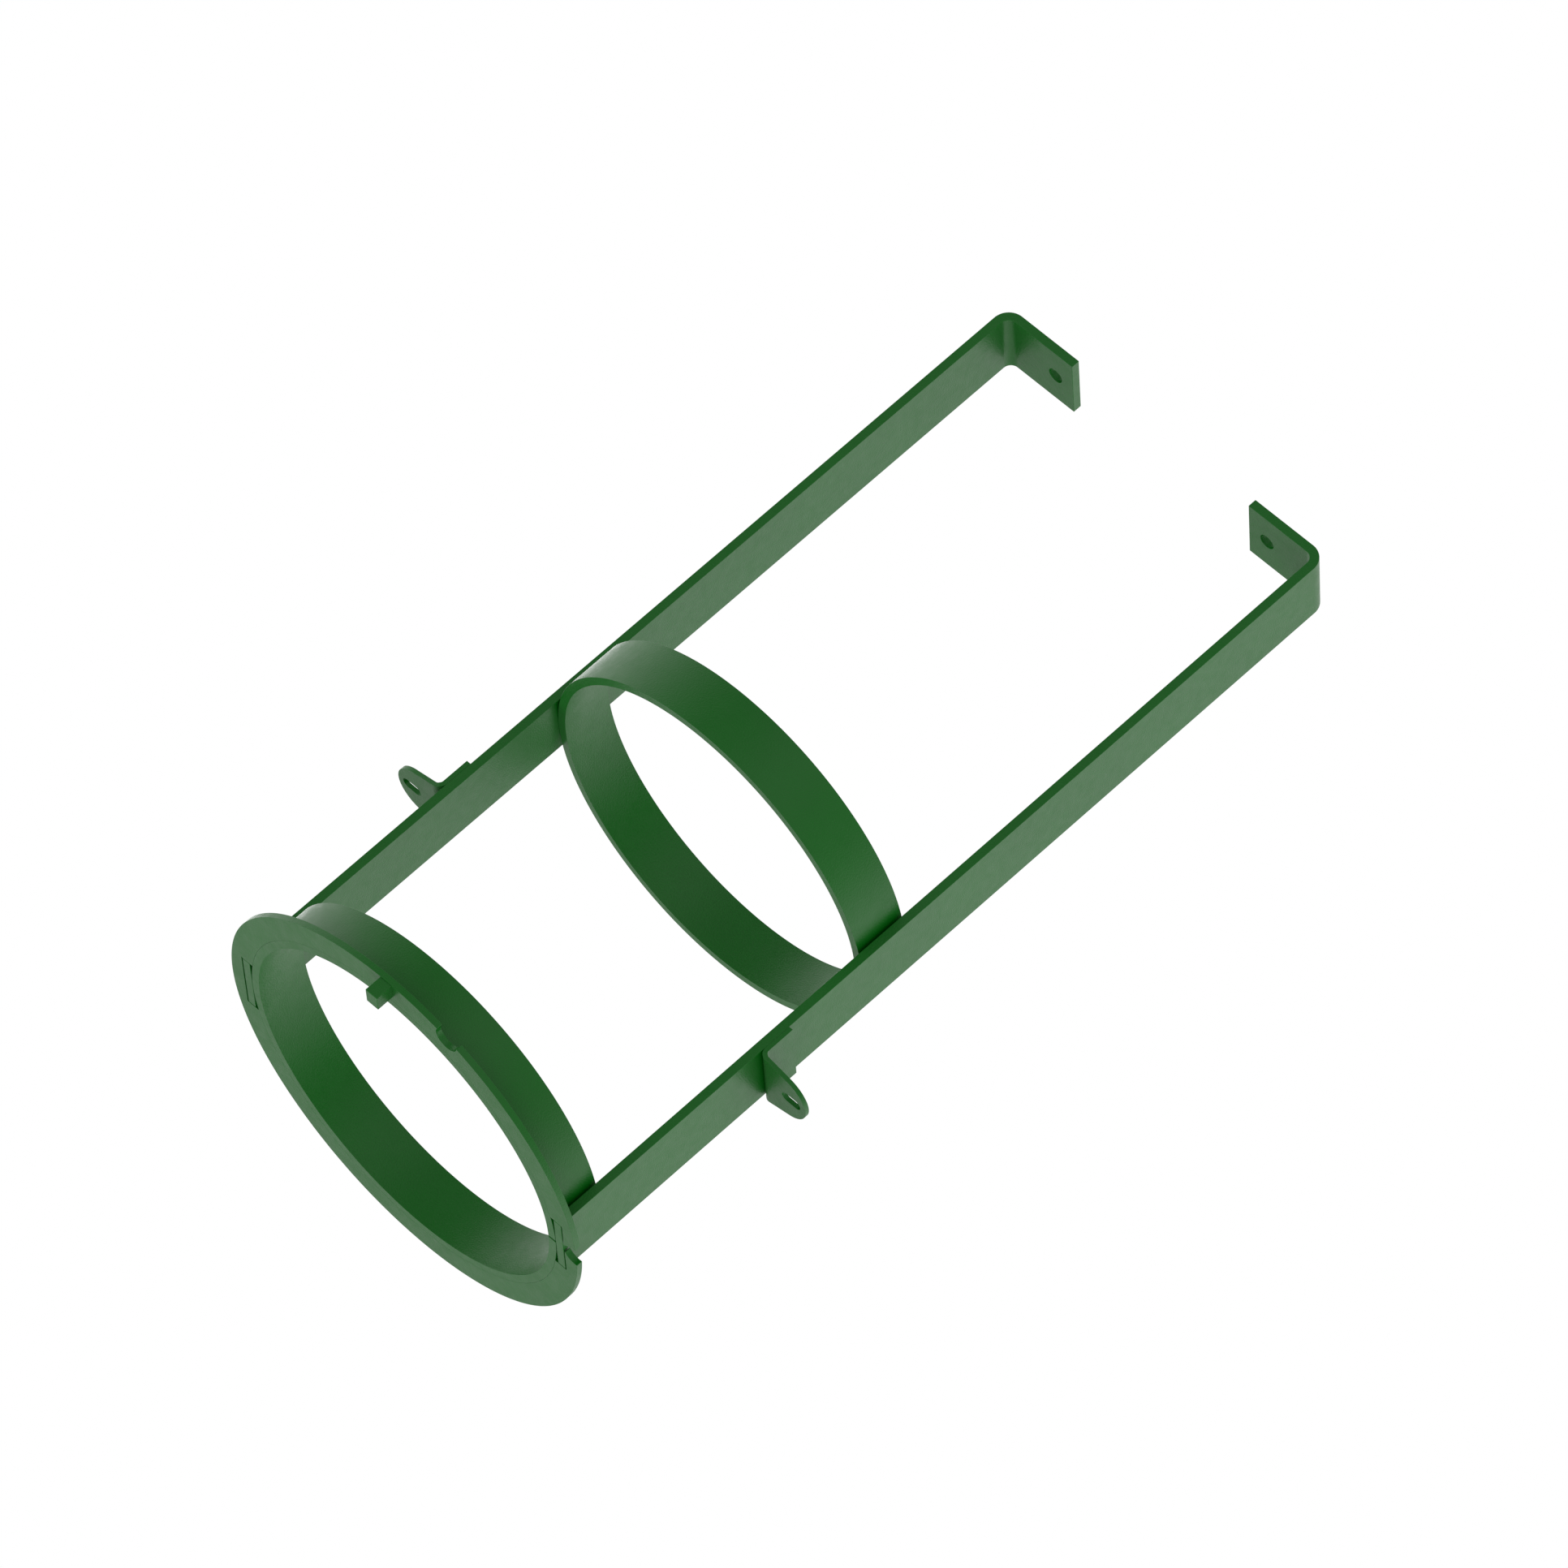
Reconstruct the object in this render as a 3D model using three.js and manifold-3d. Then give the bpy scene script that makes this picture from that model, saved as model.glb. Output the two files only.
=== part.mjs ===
// Welded flat-bar cradle frame: two side straps carry two coaxial rolled rings,
// a thin notched end flange with a stop block, and a pair of bent, slotted side lugs.
// The far ends of the straps are bent inward into bolt tabs.
//
// Millimetres, +Z up. X runs across the frame, Y runs along the ring axis.
// The origin is on the ring axis, in the plane of the two bolt-tab faces (+Y end);
// the flange stands at the -Y end. The bars of the straps stand on edge, 40 mm high.

import * as THREE from 'three';
import { mergeVertices } from 'three/addons/utils/BufferGeometryUtils.js';
import Module from 'manifold-3d';

// ---------------------------------------------------------------- dimensions
const LENGTH = 536.5;            // flange front face to bolt-tab faces
const STRAP_THICK = 5;           // flat bar 40 x 5, on edge
const STRAP_HEIGHT = 40;
const STRAP_OUTER_X = 111.6;     // outer face of a strap, from the ring axis
const TAB_LENGTH = 50;           // inturned tab, measured from the strap's outer face
const BEND_OUTER_R = 10;         // 90 degree bend between strap and tab
const BEND_INNER_R = 5;
const TAB_HOLE_D = 9;            // clearance hole for an 8 mm bolt
const TAB_HOLE_X = 74;           // hole centre, from the ring axis
const BEND_STEPS = 10;

const RING_OUTER_R = 106.4;      // flat bar 30 x 5 rolled to a ring
const RING_THICK = 5;
const RING_WIDTH = 30;
const REAR_RING_Y = 211;         // front edge of the rear ring, from the flange front face
const RING_SEAM = 1.2;           // open width of the butt joint of the rolled bar, just below z = 0
const RING_STEPS = 120;

const FLANGE_R = 120.9;          // thin end flange around the front ring
const FLANGE_THICK = 3.5;
const FLANGE_BORE_R = 106.7;     // just larger than the ring
const FLANGE_STEPS = 144;
const SLOT_OUTER_X = 112.4;      // the straps pass through open slots in the flange
const SLOT_HALF_Z = 20.3;
const SCOOP_R = 7;               // half-round scoops in the flange's rim
const SCOOP_CENTRE_R = 119;
const SCOOP_ANGLES = [0, 70];    // degrees from +X towards +Z
const SCOOP_STEPS = 40;

const STOP_WIDTH = 8;            // square stop block on the flange's front face, at the top
const STOP_HEIGHT = 10;
const STOP_LENGTH = 10;
const STOP_BOTTOM_Z = 110.5;

const LUG_THICK = 2.5;           // bent sheet lug on the outside of each strap
const LUG_GAP = 0.15;            // between the lug's base plate and the strap
const LUG_BEND_R = 2.5;          // inside radius of its bend
const LUG_EAR_Y = 135.1;         // front face of the ear, from the flange front face
const LUG_PLATE_END_Y = 156.6;   // end of the base plate, from the flange front face
const EAR_CENTRE_U = 15.3;       // centre of the ear's round end, from the strap's outer face
const EAR_R = 16.05;
const EAR_TAPER = 14.5;          // degrees, upper and lower edges
const EAR_SLOT_U = 21.5;         // centre of the slotted hole, from the strap's outer face
const EAR_SLOT_LENGTH = 12.5;
const EAR_SLOT_WIDTH = 6.5;

const GAP = 0.2;                 // between the stop block and the flange it is welded to
const FRONT_Y = -LENGTH;

// ---------------------------------------------------------------- solid helpers
const wasm = await Module();
wasm.setup();

function toSolid(geometry) {
  const g = geometry.clone();
  g.deleteAttribute('normal');
  g.deleteAttribute('uv');
  const m = mergeVertices(g, 1e-5);
  return new wasm.Manifold(new wasm.Mesh({
    numProp: 3,
    vertProperties: new Float32Array(m.attributes.position.array),
    triVerts: new Uint32Array(m.index.array),
  }));
}

function toGeometry(solid) {
  const mesh = solid.getMesh();
  const g = new THREE.BufferGeometry();
  g.setAttribute('position', new THREE.BufferAttribute(new Float32Array(mesh.vertProperties), 3));
  g.setIndex(new THREE.BufferAttribute(new Uint32Array(mesh.triVerts), 1));
  g.computeVertexNormals();
  return g;
}

// outline drawn in X and Z, extruded along Y from yLow to yHigh
function prismAlongY(points, yLow, yHigh, holes = []) {
  const shape = new THREE.Shape(points);
  for (const h of holes) shape.holes.push(new THREE.Path(h));
  const g = new THREE.ExtrudeGeometry(shape, { depth: yHigh - yLow, bevelEnabled: false, steps: 1 });
  g.rotateX(Math.PI / 2);
  g.translate(0, yHigh, 0);
  return g;
}

// outline drawn in X and Y, extruded along Z about z = 0
function prismAlongZ(points, height) {
  const g = new THREE.ExtrudeGeometry(new THREE.Shape(points), { depth: height, bevelEnabled: false, steps: 1 });
  g.translate(0, 0, -height / 2);
  return g;
}

function arc(cx, cy, r, a0, a1, steps) {
  const out = [];
  for (let i = 0; i <= steps; i++) {
    const a = THREE.MathUtils.degToRad(a0 + (a1 - a0) * i / steps);
    out.push(new THREE.Vector2(cx + r * Math.cos(a), cy + r * Math.sin(a)));
  }
  return out;
}

const V = (x, y) => new THREE.Vector2(x, y);
const mirrored = (points, side) => points.map((p) => V(p.x * side, p.y));

// round bar standing along Y, used as a cutter
function cutterAlongY(r, x, z, yLow, yHigh, steps) {
  const g = new THREE.CylinderGeometry(r, r, yHigh - yLow, steps);
  g.translate(x, (yLow + yHigh) / 2, z);
  return toSolid(g);
}

function boxCutter(x0, x1, y0, y1, z0, z1) {
  const g = new THREE.BoxGeometry(x1 - x0, y1 - y0, z1 - z0);
  g.translate((x0 + x1) / 2, (y0 + y1) / 2, (z0 + z1) / 2);
  return toSolid(g);
}

// ---------------------------------------------------------------- materials
const paint = (hex, roughness = 0.55) => new THREE.MeshStandardMaterial({ color: hex, roughness, metalness: 0.0 });

// ---------------------------------------------------------------- straps
// A flat bar on edge whose far end turns 90 degrees inward into a drilled tab.
function strapGeometry(side) {
  const xo = STRAP_OUTER_X;
  const xi = xo - STRAP_THICK;
  const xb = xo - BEND_OUTER_R;
  const yb = -BEND_OUTER_R;
  const tip = xo - TAB_LENGTH;
  const outline = [
    V(xo, FRONT_Y),
    ...arc(xb, yb, BEND_OUTER_R, 0, 90, BEND_STEPS),
    V(tip, 0),
    V(tip, -STRAP_THICK),
    ...arc(xb, yb, BEND_INNER_R, 90, 0, BEND_STEPS),
    V(xi, FRONT_Y),
  ];
  const bar = toSolid(prismAlongZ(mirrored(outline, side), STRAP_HEIGHT));
  const hole = cutterAlongY(TAB_HOLE_D / 2, side * TAB_HOLE_X, 0, -2 * STRAP_THICK, STRAP_THICK, 40);
  return toGeometry(bar.subtract(hole));
}

// ---------------------------------------------------------------- rings
// A rolled flat bar whose ends meet in an open butt joint at +X.
function ringGeometry() {
  const ro = RING_OUTER_R;
  const ri = RING_OUTER_R - RING_THICK;
  const degOut = THREE.MathUtils.radToDeg(Math.asin(RING_SEAM / ro));
  const degIn = THREE.MathUtils.radToDeg(Math.asin(RING_SEAM / ri));
  const outline = [
    ...arc(0, 0, ro, 0, 360 - degOut, RING_STEPS),
    ...arc(0, 0, ri, 360 - degIn, 0, RING_STEPS),
  ];
  const g = new THREE.ExtrudeGeometry(new THREE.Shape(outline), { depth: RING_WIDTH, bevelEnabled: false, steps: 1 });
  g.rotateX(Math.PI / 2);
  g.translate(0, RING_WIDTH, 0);
  return g;
}

// ---------------------------------------------------------------- flange
// A thin ring plate flush with the front edges of ring and straps.
// Open slots let the straps through, and half-round scoops notch the rim.
function flangeGeometry() {
  const y0 = FRONT_Y;
  const y1 = FRONT_Y + FLANGE_THICK;
  const disc = toSolid(prismAlongY(arc(0, 0, FLANGE_R, 0, 360 - 360 / FLANGE_STEPS, FLANGE_STEPS - 1), y0, y1));
  const bore = cutterAlongY(FLANGE_BORE_R, 0, 0, y0 - 5, y1 + 5, FLANGE_STEPS);
  let plate = disc.subtract(bore);
  for (const side of [-1, 1]) {
    const xa = side * 95;
    const xb = side * SLOT_OUTER_X;
    plate = plate.subtract(boxCutter(Math.min(xa, xb), Math.max(xa, xb), y0 - 5, y1 + 5, -SLOT_HALF_Z, SLOT_HALF_Z));
  }
  for (const deg of SCOOP_ANGLES) {
    const a = THREE.MathUtils.degToRad(deg);
    plate = plate.subtract(cutterAlongY(SCOOP_R, SCOOP_CENTRE_R * Math.cos(a), SCOOP_CENTRE_R * Math.sin(a), y0 - 5, y1 + 5, SCOOP_STEPS));
  }
  return toGeometry(plate);
}

// ---------------------------------------------------------------- stop block
function stopGeometry() {
  const g = new THREE.BoxGeometry(STOP_WIDTH, STOP_LENGTH - GAP, STOP_HEIGHT);
  g.translate(0, FRONT_Y - GAP - (STOP_LENGTH - GAP) / 2, STOP_BOTTOM_Z + STOP_HEIGHT / 2);
  return g;
}

// ---------------------------------------------------------------- side lugs
// Sheet bent at 90 degrees: a base plate on the strap's outer face and an ear
// that stands out sideways, tapering to a round end with a slotted hole.
function lugGeometry(side) {
  const u = (d) => STRAP_OUTER_X + d;
  const earFront = FRONT_Y + LUG_EAR_Y;
  const earRear = earFront + LUG_THICK;
  const plateEnd = FRONT_Y + LUG_PLATE_END_Y;
  const cu = LUG_GAP + LUG_THICK + LUG_BEND_R;      // bend centre
  const cy = earRear + LUG_BEND_R;
  const tip = EAR_CENTRE_U + EAR_R + 5;
  const fold = [
    V(u(LUG_GAP), plateEnd),
    V(u(LUG_GAP + LUG_THICK), plateEnd),
    ...arc(u(cu), cy, LUG_BEND_R, 180, 270, BEND_STEPS),
    V(u(tip), earRear),
    V(u(tip), earFront),
    ...arc(u(cu), cy, LUG_BEND_R + LUG_THICK, 270, 180, BEND_STEPS),
  ];
  const half = STRAP_HEIGHT / 2;
  const taper = THREE.MathUtils.degToRad(EAR_TAPER);
  // where the tapered edge reaches the strap's full height
  const startU = EAR_CENTRE_U - (half * Math.cos(taper) - EAR_R) / Math.sin(taper);
  const outline = [
    V(u(-3), -half),
    V(u(startU), -half),
    ...arc(u(EAR_CENTRE_U), 0, EAR_R, -(90 - EAR_TAPER), 90 - EAR_TAPER, 36),
    V(u(startU), half),
    V(u(-3), half),
  ];
  const sheet = toSolid(prismAlongZ(mirrored(fold, side), STRAP_HEIGHT));
  const ear = toSolid(prismAlongY(mirrored(outline, side), earFront - 3, plateEnd + 3));
  const run = (EAR_SLOT_LENGTH - EAR_SLOT_WIDTH) / 2;
  const slotOutline = [
    ...arc(u(EAR_SLOT_U + run), 0, EAR_SLOT_WIDTH / 2, -90, 90, 16),
    ...arc(u(EAR_SLOT_U - run), 0, EAR_SLOT_WIDTH / 2, 90, 270, 16),
  ];
  const slot = toSolid(prismAlongY(mirrored(slotOutline, side), earFront - 3, earRear + 3));
  return toGeometry(sheet.intersect(ear).subtract(slot));
}

// ---------------------------------------------------------------- assembly
function named(name, geometry, material) {
  const mesh = new THREE.Mesh(geometry, material);
  mesh.name = name;
  return mesh;
}

const group = new THREE.Group();

const straps = new THREE.Group();
straps.add(named('left_strap', strapGeometry(-1), paint(0x3f7a41)));
straps.add(named('right_strap', strapGeometry(1), paint(0x3f7a41)));
group.add(straps);

const rings = new THREE.Group();
const frontRing = named('front_ring', ringGeometry(), paint(0x2f6a35));
frontRing.position.set(0, FRONT_Y, 0);
const rearRing = named('rear_ring', ringGeometry(), paint(0x2f6a35));
rearRing.position.set(0, FRONT_Y + REAR_RING_Y, 0);
rings.add(frontRing, rearRing);
group.add(rings);

const collar = new THREE.Group();
collar.add(named('end_flange', flangeGeometry(), paint(0x447a46)));
collar.add(named('stop_block', stopGeometry(), paint(0x2b6a2f)));
group.add(collar);

const lugs = new THREE.Group();
lugs.add(named('left_lug', lugGeometry(-1), paint(0x457b48)));
lugs.add(named('right_lug', lugGeometry(1), paint(0x457b48)));
group.add(lugs);

export default group;
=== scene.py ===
"""Looks of the welded flat-bar cradle frame: smooth, edge-rounded pieces in powder-coat green,
on a plain white floor under soft studio light. Every piece stands for one CAD node."""

import math

import bpy
from mathutils import Matrix, Vector
from mathutils.geometry import delaunay_2d_cdt


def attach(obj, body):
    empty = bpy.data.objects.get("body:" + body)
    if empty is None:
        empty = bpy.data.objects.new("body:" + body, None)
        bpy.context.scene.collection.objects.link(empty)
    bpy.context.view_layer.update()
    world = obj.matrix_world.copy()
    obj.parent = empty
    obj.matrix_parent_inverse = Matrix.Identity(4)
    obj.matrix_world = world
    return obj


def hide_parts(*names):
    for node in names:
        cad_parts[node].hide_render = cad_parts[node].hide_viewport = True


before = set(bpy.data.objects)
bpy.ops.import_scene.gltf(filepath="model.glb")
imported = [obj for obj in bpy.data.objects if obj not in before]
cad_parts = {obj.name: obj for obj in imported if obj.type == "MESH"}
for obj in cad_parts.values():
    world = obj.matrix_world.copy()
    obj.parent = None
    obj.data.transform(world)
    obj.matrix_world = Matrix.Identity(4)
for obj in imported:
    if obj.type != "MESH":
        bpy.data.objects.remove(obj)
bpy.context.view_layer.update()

# ---------------------------------------------------------------- dimensions, mm
LENGTH = 536.5
FRONT_Y = -LENGTH
STRAP_THICK, STRAP_HEIGHT, STRAP_OUTER_X = 5.0, 40.0, 111.6
TAB_LENGTH, BEND_OUTER_R = 50.0, 10.0
TAB_HOLE_D, TAB_HOLE_X = 9.0, 74.0
RING_OUTER_R, RING_THICK, RING_WIDTH, RING_SEAM = 106.4, 5.0, 30.0, 1.2
REAR_RING_Y = 211.0
FLANGE_R, FLANGE_THICK, FLANGE_BORE_R = 120.9, 3.5, 106.44  # the bore closes up to the ring it is welded to
SLOT_OUTER_X, SLOT_HALF_Z = 112.4, 20.3
SCOOP_R, SCOOP_CENTRE_R, SCOOP_UPPER = 7.0, 119.0, 70.0
STOP_WIDTH, STOP_HEIGHT, STOP_LENGTH, STOP_BOTTOM_Z = 8.0, 10.0, 10.0, 110.5
LUG_THICK, LUG_GAP, LUG_BEND_R = 2.5, 0.03, 2.5  # the plate lies on the strap
LUG_EAR_Y, LUG_PLATE_END_Y = 135.1, 156.6
EAR_CENTRE_U, EAR_R, EAR_TAPER = 15.3, 16.05, 14.5
EAR_SLOT_U, EAR_SLOT_LENGTH, EAR_SLOT_WIDTH = 21.5, 12.5, 6.5
GAP = 0.2
MM = 0.001

rad = math.radians


# ---------------------------------------------------------------- flat outlines
def arc(ca, cb, r, start, end, steps):
    """Points on a circle from angle start to angle end, both in degrees."""
    out = []
    for i in range(steps + 1):
        t = rad(start + (end - start) * i / steps)
        out.append((ca + r * math.cos(t), cb + r * math.sin(t)))
    return out


def joined(*runs):
    """Runs of points end to end, without the doubled points where they meet."""
    out = []
    for run in runs:
        for p in run:
            if not out or math.dist(out[-1], p) > 1e-5:
                out.append(p)
    if math.dist(out[0], out[-1]) < 1e-5:
        out.pop()
    return out


def soften(points, rho, steps=5, least=25.0):
    """The closed outline with each corner sharper than least rounded to radius rho."""
    out, n = [], len(points)
    for i, p in enumerate(points):
        a, b = points[i - 1], points[(i + 1) % n]
        l1, l2 = math.dist(a, p), math.dist(p, b)
        d1 = ((p[0] - a[0]) / l1, (p[1] - a[1]) / l1)
        d2 = ((b[0] - p[0]) / l2, (b[1] - p[1]) / l2)
        turn = math.atan2(d1[0] * d2[1] - d1[1] * d2[0], d1[0] * d2[0] + d1[1] * d2[1])
        if abs(turn) < rad(least):
            out.append(p)
            continue
        k = math.tan(abs(turn) / 2)
        r = min(rho, 0.85 * min(l1, l2) / k)
        s = 1 if turn > 0 else -1
        start = (p[0] - d1[0] * r * k, p[1] - d1[1] * r * k)
        centre = (start[0] - s * d1[1] * r, start[1] + s * d1[0] * r)
        first = math.atan2(start[1] - centre[1], start[0] - centre[0])
        for j in range(steps + 1):
            t = first + turn * j / steps
            out.append((centre[0] + r * math.cos(t), centre[1] + r * math.sin(t)))
    return out


# ---------------------------------------------------------------- plate builder
def plate(name, loops, c0, c1, r, place, ties=(), flip=False, rows=4):
    """A plate with rounded edges. loops are closed outlines in the plate's own plane: the first runs
    counter-clockwise round the material, the others clockwise round its holes. The plate reaches
    from c0 to c1 across its thickness and place(a, b) gives a point of its middle and its three
    directions, so that a flat outline can be bent or rolled. ties are the places along a where an
    edge crosses the plate, for its bends. Every vertex gets its exact normal."""
    verts, normals, edge = [], [], []
    profile = []  # inset, height, share of the in-plane normal, share of the face normal, edge mask
    for j in range(rows + 1):
        t = math.pi / 2 * j / rows
        profile.append((r * (1 - math.sin(t)), c1 - r * (1 - math.cos(t)), math.sin(t), math.cos(t), math.sin(2 * t)))
    for j in range(rows, -1, -1):
        t = math.pi / 2 * j / rows
        profile.append((r * (1 - math.sin(t)), c0 + r * (1 - math.cos(t)), math.sin(t), -math.cos(t), math.sin(2 * t)))
    faces, cap, cap_edges, cap_id = [], [], [], []
    for loop in loops:
        n = len(loop)
        start = len(verts)
        seg = []
        for i in range(n):
            p, q = loop[i], loop[(i + 1) % n]
            length = math.dist(p, q)
            seg.append(((q[1] - p[1]) / length, -(q[0] - p[0]) / length, length))
        lean, soft = [], []
        for i in range(n):
            s1, s2 = seg[i - 1], seg[i]
            dot = s1[0] * s2[0] + s1[1] * s2[1]
            lean.append(((s1[0] + s2[0]) / (1 + dot), (s1[1] + s2[1]) / (1 + dot)))
            na = s1[0] * s1[2] + s2[0] * s2[2]
            nb = s1[1] * s1[2] + s2[1] * s2[2]
            size = math.hypot(na, nb)
            soft.append((na / size, nb / size))
        for inset, height, wall, face, mask in profile:
            for i in range(n):
                a = loop[i][0] - lean[i][0] * inset
                b = loop[i][1] - lean[i][1] * inset
                o, da, db, dc = place(a, b)
                verts.append((o + dc * height) * MM)
                normals.append((da * soft[i][0] * wall + db * soft[i][1] * wall + dc * face).normalized())
                edge.append(mask)
        m = len(profile)
        for j in range(m - 1):
            for i in range(n):
                k = (i + 1) % n
                faces.append((start + j * n + i, start + (j + 1) * n + i, start + (j + 1) * n + k, start + j * n + k))
        first = len(cap)
        for i in range(n):
            cap.append(Vector((loop[i][0] - lean[i][0] * r, loop[i][1] - lean[i][1] * r)))
            cap_edges.append((first + i, first + (i + 1) % n))
            cap_id.append((start + i, start + (m - 1) * n + i))
    outer = loops[0]
    for at in ties:
        low = [i for i, p in enumerate(outer) if abs(p[0] - at) < 1e-5 and p[1] < 0]
        high = [i for i, p in enumerate(outer) if abs(p[0] - at) < 1e-5 and p[1] > 0]
        cap_edges.append((low[0], high[0]))
    found = delaunay_2d_cdt(cap, cap_edges, [], 0, 1e-7, True)
    coords, triangles, origin = found[0], found[2], found[3]
    rims, k = [], 0
    for loop in loops:
        rims.append(cap[k:k + len(loop)])
        k += len(loop)
    for tri in triangles:
        ca = sum(coords[v][0] for v in tri) / 3
        cb = sum(coords[v][1] for v in tri) / 3
        inside = False
        for rim in rims:
            for i in range(len(rim)):
                p, q = rim[i - 1], rim[i]
                if (p[1] > cb) != (q[1] > cb) and ca < (q[0] - p[0]) * (cb - p[1]) / (q[1] - p[1]) + p[0]:
                    inside = not inside
        if not inside:
            continue
        ids = [origin[v][0] for v in tri]
        faces.append(tuple(cap_id[v][0] for v in ids))
        faces.append(tuple(cap_id[v][1] for v in reversed(ids)))
    if flip:
        faces = [tuple(reversed(f)) for f in faces]
    mesh = bpy.data.meshes.new(name)
    mesh.from_pydata([tuple(v) for v in verts], [], faces)
    mesh.polygons.foreach_set("use_smooth", [True] * len(mesh.polygons))
    # the edge mask peaks halfway round each rounded edge; the paint turns it into a lighter green that is partly
    # thin-coat wear and partly a painted highlight
    attribute = mesh.attributes.new("edge", "FLOAT", "POINT")
    attribute.data.foreach_set("value", edge)
    mesh.update()
    mesh.normals_split_custom_set_from_vertices([tuple(v) for v in normals])
    obj = bpy.data.objects.new(name, mesh)
    bpy.context.scene.collection.objects.link(obj)
    return obj


def crossed(length, half, at):
    """A rectangle from 0 to length, half wide each side, with a point on both long sides at each place in at."""
    low = [(0.0, -half)] + [(a, -half) for a in at] + [(length, -half)]
    return low + [(a, -b) for a, b in reversed(low)]


# ---------------------------------------------------------------- straps
def strap(side):
    straight = LENGTH - BEND_OUTER_R
    rm = BEND_OUTER_R - STRAP_THICK / 2
    turn = rm * math.pi / 2
    xb = STRAP_OUTER_X - BEND_OUTER_R
    total = straight + turn + (TAB_LENGTH - BEND_OUTER_R)
    up = Vector((0, 0, 1))

    def place(a, b):
        if a <= straight:
            o, t, c = (xb + rm, FRONT_Y + a), (0, 1), (1, 0)
        elif a < straight + turn:
            f = (a - straight) / rm
            c = (math.cos(f), math.sin(f))
            o, t = (xb + rm * c[0], -BEND_OUTER_R + rm * c[1]), (-c[1], c[0])
        else:
            o, t, c = (xb - (a - straight - turn), -BEND_OUTER_R + rm), (-1, 0), (0, 1)
        return (Vector((side * o[0], o[1], b)), Vector((side * t[0], t[1], 0)), up, Vector((side * c[0], c[1], 0)))

    bend = [straight + turn * i / 28 for i in range(29)]
    run = [straight * i / 14 for i in range(1, 14)] + [straight - 0.6]
    ties = sorted(run + bend + [straight + turn + 0.6])
    outer = soften(crossed(total, STRAP_HEIGHT / 2, ties), 0.4)
    hole = joined(arc(straight + turn + xb - TAB_HOLE_X, 0, TAB_HOLE_D / 2, 0, -360, 72))
    name = "right_strap_painted" if side > 0 else "left_strap_painted"
    return plate(name, [outer, hole], -STRAP_THICK / 2, STRAP_THICK / 2, 0.25, place, ties, flip=side < 0)


# ---------------------------------------------------------------- rings
def ring(name, y0):
    rm = RING_OUTER_R - RING_THICK / 2
    total = 2 * math.pi * rm - RING_SEAM
    across = Vector((0, -1, 0))

    def place(a, b):
        f = a / rm
        c = Vector((math.cos(f), 0, math.sin(f)))
        return c * rm + Vector((0, y0 + RING_WIDTH / 2 - b, 0)), Vector((-c.z, 0, c.x)), across, c

    ties = [total * i / 288 for i in range(1, 288)]
    outer = soften(crossed(total, RING_WIDTH / 2, ties), 0.3)
    return plate(name, [outer], -RING_THICK / 2, RING_THICK / 2, 0.12, place, ties)


# ---------------------------------------------------------------- end flange
def flange():
    rim, s, sx, sz, tip = FLANGE_R, SCOOP_R, SLOT_OUTER_X, SLOT_HALF_Z, 0.25
    reach = math.degrees(math.acos((SCOOP_CENTRE_R**2 + rim**2 - s**2) / (2 * SCOOP_CENTRE_R * rim)))
    phi = math.degrees(math.atan2(rim * math.sin(rad(reach)), rim * math.cos(rad(reach)) - SCOOP_CENTRE_R))
    zc = math.sqrt((s + tip) ** 2 - (SCOOP_CENTRE_R - sx - tip) ** 2)
    ux, uz = (sx + tip - SCOOP_CENTRE_R) / (s + tip), zc / (s + tip)
    beta = math.degrees(math.atan2(uz, ux))
    xb = math.sqrt(FLANGE_BORE_R**2 - sz**2)
    bore = math.degrees(math.asin(sz / FLANGE_BORE_R))
    up = rad(SCOOP_UPPER)
    cx, cz = SCOOP_CENTRE_R * math.cos(up), SCOOP_CENTRE_R * math.sin(up)
    outline = joined(
        arc(0, 0, rim, reach, SCOOP_UPPER - reach, 64),
        arc(cx, cz, s, SCOOP_UPPER - phi, SCOOP_UPPER + phi - 360, 30),
        arc(0, 0, rim, SCOOP_UPPER + reach, 360 - reach, 300),
        arc(SCOOP_CENTRE_R, 0, s, -phi, -beta, 11),
        arc(sx + tip, -zc, tip, math.degrees(math.atan2(uz, -ux)), 180, 8),
        [(sx, -sz), (xb, -sz)],
        arc(0, 0, FLANGE_BORE_R, -bore, bore - 180, 160),
        [(-sx, -sz), (-sx, sz), (-xb, sz)],
        arc(0, 0, FLANGE_BORE_R, 180 - bore, bore, 160),
        [(sx, sz)],
        arc(sx + tip, zc, tip, 180, 360 - math.degrees(math.atan2(uz, -ux)), 8),
        arc(SCOOP_CENTRE_R, 0, s, beta, phi, 11),
    )
    da, db, dc = Vector((1, 0, 0)), Vector((0, 0, 1)), Vector((0, -1, 0))

    def place(a, b):
        return Vector((a, FRONT_Y + FLANGE_THICK, b)), da, db, dc

    return plate("end_flange_painted", [soften(outline, 0.3)], 0, FLANGE_THICK, 0.10, place)


# ---------------------------------------------------------------- stop block
def stop_block():
    da, db, dc = Vector((1, 0, 0)), Vector((0, 0, 1)), Vector((0, -1, 0))
    w, z0, z1 = STOP_WIDTH / 2, STOP_BOTTOM_Z, STOP_BOTTOM_Z + STOP_HEIGHT
    outline = soften([(-w, z0), (w, z0), (w, z1), (-w, z1)], 0.45)

    def place(a, b):
        return Vector((a, FRONT_Y - GAP, b)), da, db, dc

    # the weld side reaches 0.3 mm into the flange, so that no open joint shows
    return plate("stop_block_painted", [outline], -GAP - 0.3, STOP_LENGTH - GAP, 0.4, place)


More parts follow.
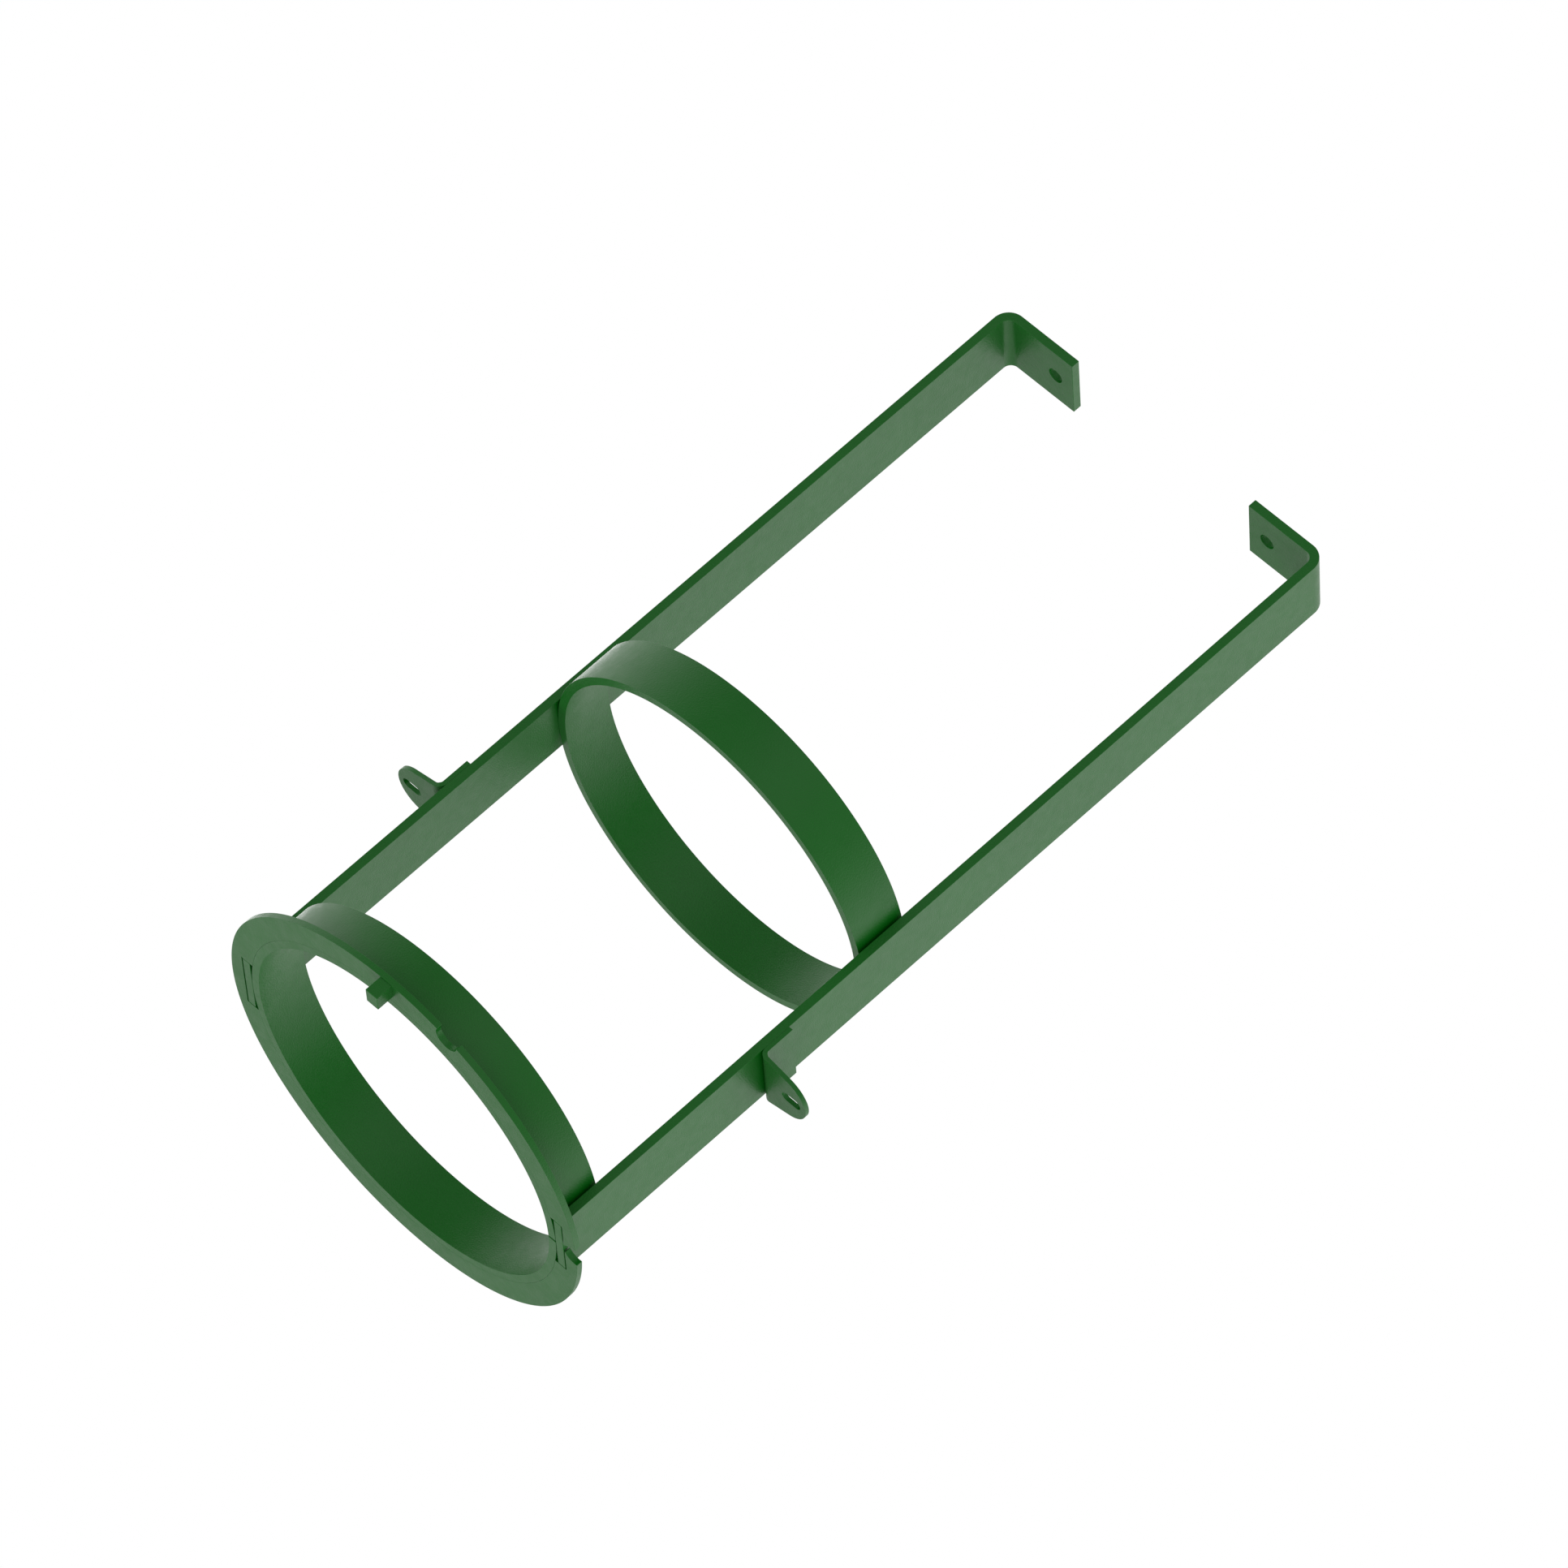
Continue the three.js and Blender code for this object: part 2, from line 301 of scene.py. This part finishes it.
# ---------------------------------------------------------------- side lugs
def lug(side):
    base_end, ear_rear = FRONT_Y + LUG_PLATE_END_Y, FRONT_Y + LUG_EAR_Y + LUG_THICK
    cu, cy = LUG_GAP + LUG_THICK + LUG_BEND_R, ear_rear + LUG_BEND_R
    rm = LUG_BEND_R + LUG_THICK / 2
    flat, turn = base_end - cy, rm * math.pi / 2
    up = Vector((0, 0, 1))

    def place(a, b):
        if a <= flat:
            o, t, c = (cu - rm, base_end - a), (0, -1), (-1, 0)
        elif a < flat + turn:
            f = (a - flat) / rm
            o = (cu - rm * math.cos(f), cy - rm * math.sin(f))
            t, c = (math.sin(f), -math.cos(f)), (-math.cos(f), -math.sin(f))
        else:
            o, t, c = (cu + a - flat - turn, cy - rm), (1, 0), (0, -1)
        return (Vector((side * (STRAP_OUTER_X + o[0]), o[1], b)), Vector((side * t[0], t[1], 0)), up,
                Vector((side * c[0], c[1], 0)))

    half, taper = STRAP_HEIGHT / 2, rad(EAR_TAPER)
    to_a = flat + turn - cu  # from a distance outward to a place along the plate
    ear = to_a + EAR_CENTRE_U
    begin = ear - (half * math.cos(taper) - EAR_R) / math.sin(taper)

    def width(a):
        return half - max(0.0, a - begin) * math.tan(taper)

    bend = [flat + turn * i / 20 for i in range(21)]
    ties = sorted([flat / 2, flat - 0.4] + bend + [flat + turn + 0.4] + [begin])
    low = [(0.0, -half)] + [(a, -width(a)) for a in ties]
    end = arc(ear, 0, EAR_R, -(90 - EAR_TAPER), 90 - EAR_TAPER, 64)
    outer = soften(joined(low, end, [(a, -b) for a, b in reversed(low)]), 0.35)
    run, r = (EAR_SLOT_LENGTH - EAR_SLOT_WIDTH) / 2, EAR_SLOT_WIDTH / 2
    at = to_a + EAR_SLOT_U
    slot = joined(arc(at + run, 0, r, 90, -90, 32), arc(at - run, 0, r, -90, -270, 32))
    name = "right_lug_painted" if side > 0 else "left_lug_painted"
    return plate(name, [outer, slot], -LUG_THICK / 2, LUG_THICK / 2, 0.12, place, ties, flip=side < 0)


# ---------------------------------------------------------------- paint
def paint(name, seed):
    """Satin powder coat: a deep green with the fine orange peel and slight mottling. The rounded edges are painted a
    lighter green, which stands partly for thin-coat wear and partly for a painted highlight.
    """
    mat = bpy.data.materials.new(name)
    mat.use_nodes = True
    nt = mat.node_tree
    nt.nodes.clear()
    node, link = nt.nodes.new, nt.links.new
    out = node("ShaderNodeOutputMaterial")
    bsdf = node("ShaderNodeBsdfPrincipled")
    link(bsdf.outputs["BSDF"], out.inputs["Surface"])
    bsdf.inputs["IOR"].default_value = 1.5
    coord = node("ShaderNodeTexCoord")
    shift = node("ShaderNodeMapping")
    shift.inputs["Location"].default_value = (0.37 * seed, 0.71 * seed, 0.53 * seed)
    link(coord.outputs["Object"], shift.inputs["Vector"])

    def noise(scale, detail, rough):
        n = node("ShaderNodeTexNoise")
        n.inputs["Scale"].default_value = scale
        n.inputs["Detail"].default_value = detail
        n.inputs["Roughness"].default_value = rough
        link(shift.outputs["Vector"], n.inputs["Vector"])
        return n.outputs["Fac"]

    def remap(value, a, b, c, d):
        n = node("ShaderNodeMapRange")
        n.inputs["From Min"].default_value = a
        n.inputs["From Max"].default_value = b
        n.inputs["To Min"].default_value = c
        n.inputs["To Max"].default_value = d
        link(value, n.inputs["Value"])
        return n.outputs["Result"]

    def blend(fac, a, b):
        n = node("ShaderNodeMix")
        n.data_type = "RGBA"
        link(fac, n.inputs["Factor"])
        for socket, value in ((n.inputs["A"], a), (n.inputs["B"], b)):
            if isinstance(value, tuple):
                socket.default_value = (*value, 1.0)
            else:
                link(value, socket)
        return n.outputs["Result"]

    mottle = noise(22.0, 4.0, 0.55)  # slow drift of the coat's depth over 40 to 50 mm
    speck = noise(900.0, 2.0, 0.5)  # grain of the powder, about 1 mm
    base = blend(remap(mottle, 0.35, 0.65, 0.0, 1.0), PAINT_DEEP, PAINT_LIGHT)
    base = blend(remap(speck, 0.3, 0.75, 0.0, 0.10), base, PAINT_GRAIN)
    edge = node("ShaderNodeAttribute")
    edge.attribute_name = "edge"
    # painted highlight and thin-coat wear: a lighter green mixed in along the edge rounding
    base = blend(remap(edge.outputs["Fac"], 0.2, 1.0, 0.0, 0.25), base, PAINT_EDGE_WEAR_HIGHLIGHT)
    link(base, bsdf.inputs["Base Color"])
    rough = noise(160.0, 3.0, 0.6)
    link(remap(rough, 0.3, 0.7, ROUGH_LOW, ROUGH_HIGH), bsdf.inputs["Roughness"])
    peel = noise(420.0, 2.0, 0.45)  # orange peel, 2 to 3 mm
    bump = node("ShaderNodeBump")
    bump.inputs["Strength"].default_value = 0.25
    bump.inputs["Distance"].default_value = 0.00012
    link(peel, bump.inputs["Height"])
    fine = node("ShaderNodeBump")
    fine.inputs["Strength"].default_value = 1.0
    fine.inputs["Distance"].default_value = 0.00013
    link(noise(1250.0, 1.0, 0.5), fine.inputs["Height"])  # powder grain, under 1 mm
    link(bump.outputs["Normal"], fine.inputs["Normal"])
    link(fine.outputs["Normal"], bsdf.inputs["Normal"])
    return mat


PAINT_DEEP = (0.0006, 0.141, 0.0050)
PAINT_LIGHT = (0.0008, 0.153, 0.0060)
PAINT_GRAIN = (0.004, 0.185, 0.012)
# lighter green of the rounded edges: partly thin-coat wear, partly a painted highlight
PAINT_EDGE_WEAR_HIGHLIGHT = (0.006, 0.195, 0.016)
ROUGH_LOW, ROUGH_HIGH = 0.30, 0.40

pieces = [
    (strap(-1), "left_strap"),
    (strap(1), "right_strap"),
    (ring("front_ring_painted", FRONT_Y), "front_ring"),
    (ring("rear_ring_painted", FRONT_Y + REAR_RING_Y), "rear_ring"),
    (flange(), "end_flange"),
    (stop_block(), "stop_block"),
    (lug(-1), "left_lug"),
    (lug(1), "right_lug"),
]
for number, (piece, node_name) in enumerate(pieces):
    piece.data.materials.append(paint("powder_coat_green_" + node_name, number))
    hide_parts(node_name)
    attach(piece, "root")


# ---------------------------------------------------------------- floor
def floor():
    """A plain white floor, even to the edges. It is seen but lights nothing: the studio light comes from all round,
    and the underside is clear, so the frame can be looked at from below too."""
    size, z = 30.0, -0.1225
    mesh = bpy.data.meshes.new("floor")
    mesh.from_pydata([(-size, -size, z), (size, -size, z), (size, size, z), (-size, size, z)], [], [(0, 1, 2, 3)])
    obj = bpy.data.objects.new("floor", mesh)
    bpy.context.scene.collection.objects.link(obj)
    mat = bpy.data.materials.new("floor_white")
    mat.use_nodes = True
    nt = mat.node_tree
    nt.nodes.clear()
    out = nt.nodes.new("ShaderNodeOutputMaterial")
    glow = nt.nodes.new("ShaderNodeEmission")
    glow.inputs["Color"].default_value = (1.0, 1.0, 1.0, 1.0)
    glow.inputs["Strength"].default_value = 1.0
    clear = nt.nodes.new("ShaderNodeBsdfTransparent")
    side = nt.nodes.new("ShaderNodeNewGeometry")
    pick = nt.nodes.new("ShaderNodeMixShader")
    nt.links.new(side.outputs["Backfacing"], pick.inputs["Fac"])
    nt.links.new(glow.outputs["Emission"], pick.inputs[1])
    nt.links.new(clear.outputs["BSDF"], pick.inputs[2])
    nt.links.new(pick.outputs["Shader"], out.inputs["Surface"])
    mesh.materials.append(mat)
    for kind in ("diffuse", "glossy", "transmission", "volume_scatter", "shadow"):
        setattr(obj, "visible_" + kind, False)
    return obj


floor()

# ---------------------------------------------------------------- light
SKY_BASE = 0.0
SKY_LOBES = [
    ((0.212, 0.000, 0.977), 10.0, 0.214),
    ((-0.268, 0.245, 0.932), 10.0, 0.011),
    ((0.040, -0.461, 0.886), 10.0, 0.220),
    ((0.329, 0.429, 0.841), 10.0, 0.349),
    ((-0.597, -0.106, 0.795), 10.0, 0.093),
    ((0.558, -0.355, 0.750), 10.0, 0.278),
    ((-0.184, 0.685, 0.705), 10.0, 0.147),
    ((-0.347, -0.667, 0.659), 10.0, 0.255),
    ((0.742, 0.271, 0.614), 10.0, 0.139),
    ((-0.761, 0.314, 0.568), 10.0, 0.219),
    ((0.361, -0.772, 0.523), 10.0, 0.358),
    ((0.263, 0.838, 0.477), 10.0, 0.320),
    ((-0.780, -0.452, 0.432), 10.0, 0.332),
    ((0.901, -0.198, 0.386), 10.0, 0.194),
    ((-0.541, 0.769, 0.341), 10.0, 0.294),
    ((-0.123, -0.947, 0.295), 10.0, 0.308),
    ((0.740, 0.624, 0.250), 10.0, 0.065),
    ((-0.978, 0.040, 0.205), 10.0, 0.508),
    ((0.700, -0.696, 0.159), 10.0, 0.435),
    ((-0.046, 0.992, 0.114), 10.0, 0.364),
    ((-0.639, -0.766, 0.068), 10.0, 0.314),
    ((0.991, 0.133, 0.023), 10.0, 0.136),
    ((-0.821, 0.571, -0.023), 10.0, 0.488),
    ((0.219, -0.973, -0.068), 10.0, 0.350),
    ((0.494, 0.862, -0.114), 10.0, 0.442),
    ((-0.941, -0.300, -0.159), 10.0, 0.414),
    ((0.889, -0.411, -0.205), 10.0, 0.469),
    ((-0.374, 0.893, -0.250), 10.0, 0.389),
    ((-0.323, -0.899, -0.295), 10.0, 0.271),
    ((0.832, 0.437, -0.341), 10.0, 0.628),
    ((-0.892, 0.235, -0.386), 10.0, 0.434),
    ((0.488, -0.759, -0.432), 10.0, 0.417),
    ((0.149, 0.866, -0.477), 10.0, 0.437),
    ((-0.674, -0.522, -0.523), 10.0, 0.402),
    ((0.820, -0.068, -0.568), 10.0, 0.601),
    ((-0.536, 0.580, -0.614), 10.0, 0.332),
    ((0.004, -0.752, -0.659), 10.0, 0.209),
    ((0.477, 0.526, -0.705), 10.0, 0.584),
    ((-0.659, -0.061, -0.750), 10.0, 0.383),
    ((0.483, -0.366, -0.795), 10.0, 0.255),
    ((-0.097, 0.532, -0.841), 10.0, 0.304),
    ((-0.247, -0.392, -0.886), 10.0, 0.146),
    ((0.350, 0.096, -0.932), 10.0, 0.303),
    ((-0.189, 0.097, -0.977), 10.0, 0.136),
    ((-0.519, 0.359, -0.775), 60.0, 2.5),  # a low reflector behind, for the bright line where each ring turns away
]


def sky(base, lobes):
    """Soft studio light from all round: an even level, and broad soft lobes (direction, sharpness, strength).
    The backdrop itself is plain white."""
    world = bpy.data.worlds.new("studio")
    bpy.context.scene.world = world
    world.use_nodes = True
    nt = world.node_tree
    nt.nodes.clear()
    out = nt.nodes.new("ShaderNodeOutputWorld")
    back = nt.nodes.new("ShaderNodeBackground")
    back.inputs["Color"].default_value = (1.0, 1.0, 1.0, 1.0)
    back.inputs["Strength"].default_value = base
    plain = nt.nodes.new("ShaderNodeBackground")
    plain.inputs["Color"].default_value = (1.0, 1.0, 1.0, 1.0)
    plain.inputs["Strength"].default_value = 1.0
    path = nt.nodes.new("ShaderNodeLightPath")
    pick = nt.nodes.new("ShaderNodeMixShader")
    nt.links.new(path.outputs["Is Camera Ray"], pick.inputs["Fac"])
    nt.links.new(back.outputs["Background"], pick.inputs[1])
    nt.links.new(plain.outputs["Background"], pick.inputs[2])
    nt.links.new(pick.outputs["Shader"], out.inputs["Surface"])
    if not lobes:
        return
    coord = nt.nodes.new("ShaderNodeTexCoord")
    total = None
    for (x, y, z), sharp, strength in lobes:
        dot = nt.nodes.new("ShaderNodeVectorMath")
        dot.operation = "DOT_PRODUCT"
        dot.inputs[1].default_value = Vector((x, y, z)).normalized()
        nt.links.new(coord.outputs["Generated"], dot.inputs[0])
        fall = nt.nodes.new("ShaderNodeMath")
        fall.operation = "MULTIPLY_ADD"
        fall.inputs[1].default_value = sharp
        fall.inputs[2].default_value = -sharp
        nt.links.new(dot.outputs["Value"], fall.inputs[0])
        power = nt.nodes.new("ShaderNodeMath")
        power.operation = "EXPONENT"
        nt.links.new(fall.outputs[0], power.inputs[0])
        scale = nt.nodes.new("ShaderNodeMath")
        scale.operation = "MULTIPLY_ADD"
        scale.inputs[1].default_value = strength
        scale.inputs[2].default_value = base if total is None else 0.0
        nt.links.new(power.outputs[0], scale.inputs[0])
        if total is not None:
            nt.links.new(total, scale.inputs[2])
        total = scale.outputs[0]
    nt.links.new(total, back.inputs["Strength"])


sky(SKY_BASE, SKY_LOBES)


# ---------------------------------------------------------------- camera
def camera():
    right = Vector((0.70645859, 0.70635582, -0.04447149))
    down = Vector((0.57551515, -0.6098989, -0.54479872))
    ahead = Vector((-0.41194486, 0.35928372, -0.83738679))
    data = bpy.data.cameras.new("camera")
    data.sensor_fit = "HORIZONTAL"
    data.sensor_width = 36.0
    data.lens = 299.83
    data.clip_start, data.clip_end = 0.1, 100.0
    obj = bpy.data.objects.new("camera", data)
    bpy.context.scene.collection.objects.link(obj)
    turn = Matrix((right, -down, -ahead)).transposed().to_4x4()
    obj.matrix_world = Matrix.Translation((2.66604, -2.59845, 5.41927)) @ turn
    bpy.context.scene.camera = obj


camera()
view = bpy.context.scene.view_settings
view.view_transform = "Standard"
view.look = "None"
view.exposure = 0.0
view.gamma = 1.0
